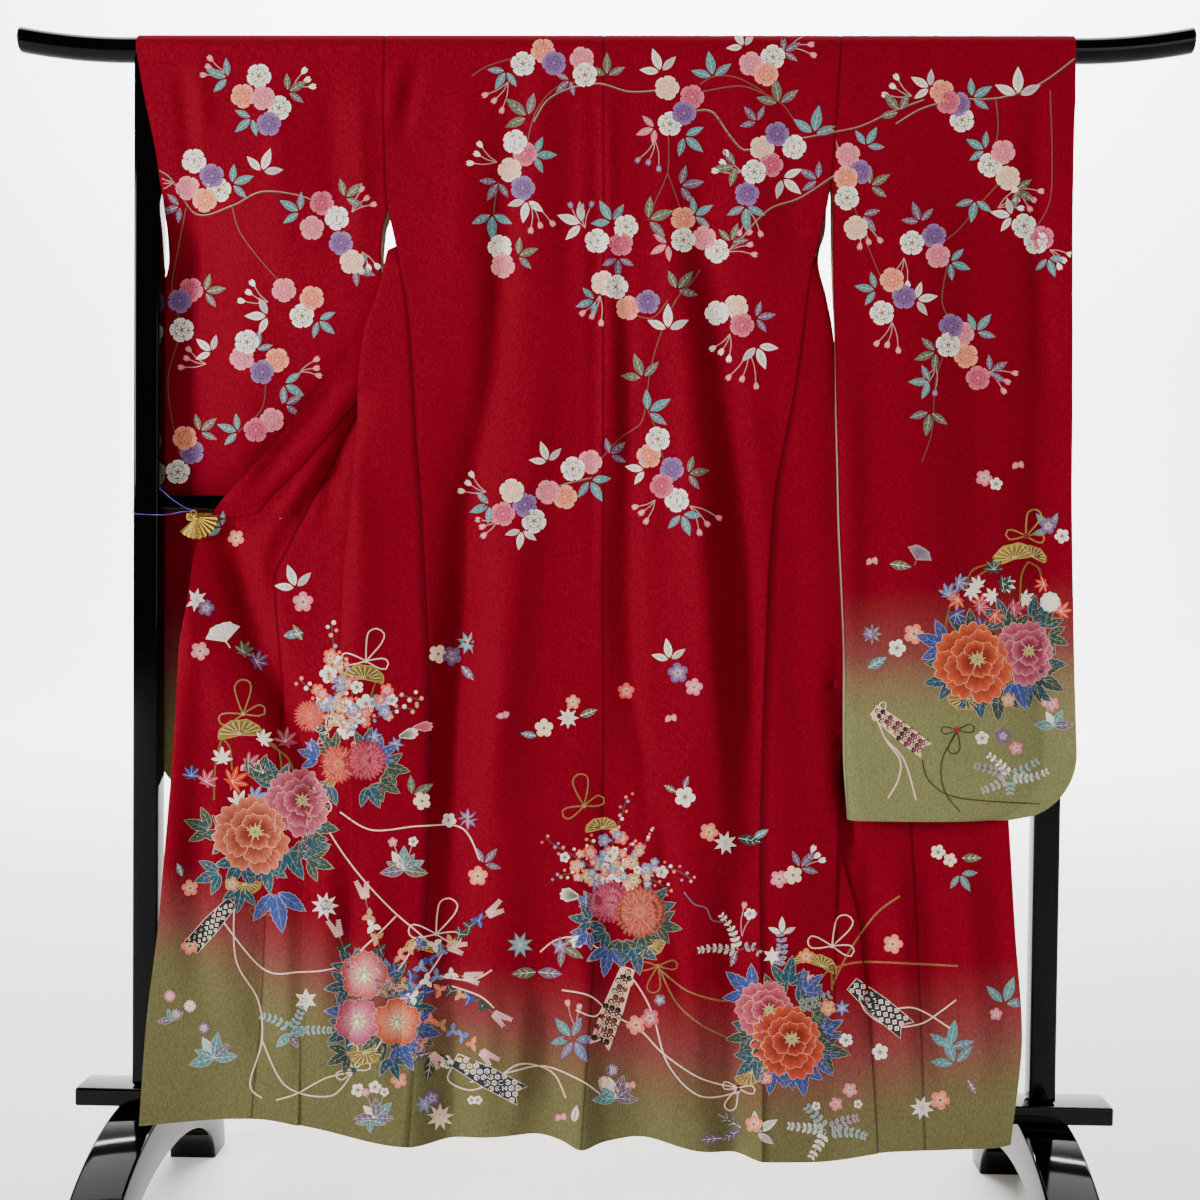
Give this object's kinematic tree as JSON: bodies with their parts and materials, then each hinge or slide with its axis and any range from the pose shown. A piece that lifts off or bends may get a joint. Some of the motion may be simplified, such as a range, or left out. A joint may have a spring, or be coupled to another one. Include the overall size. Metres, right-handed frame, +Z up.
{
  "type": "furisode on a kimono stand",
  "caption": "Red long-sleeved furisode shown from the back, draped over a black lacquered kimono stand with one front pulled out wide",
  "frame": {"origin": "on the floor, under the middle of the stand", "axes": "+Z up; +X to the viewer's right, along the rail; +Y away from the viewer, so the garment's back faces -Y"},
  "size_m": [1.653, 0.629, 1.7076],
  "materials": {
    "silk_crepe": "crimson silk crepe with a printed flower design, soft sheen",
    "black_lacquer": "wood in polished black lacquer",
    "gold_plate": "thin gold-plated sheet",
    "violet_cord": "thin round silk cord"
  },
  "bodies": {
    "root": {"back_left": "silk_crepe", "back_right": "silk_crepe", "front_left": "silk_crepe", "front_right": "silk_crepe", "okumi_left": "silk_crepe", "okumi_right": "silk_crepe", "collar": "silk_crepe", "sleeve_left_near": "silk_crepe", "sleeve_left_far": "silk_crepe", "sleeve_right_near": "silk_crepe", "sleeve_right_far": "silk_crepe", "top_rail": "black_lacquer", "post_left": "black_lacquer", "post_right": "black_lacquer", "crossbar": "black_lacquer", "base_beam": "black_lacquer", "foot_left": "black_lacquer", "foot_right": "black_lacquer", "fan_clip": "gold_plate", "clip_cord": "violet_cord"}
  },
  "joints": []
}
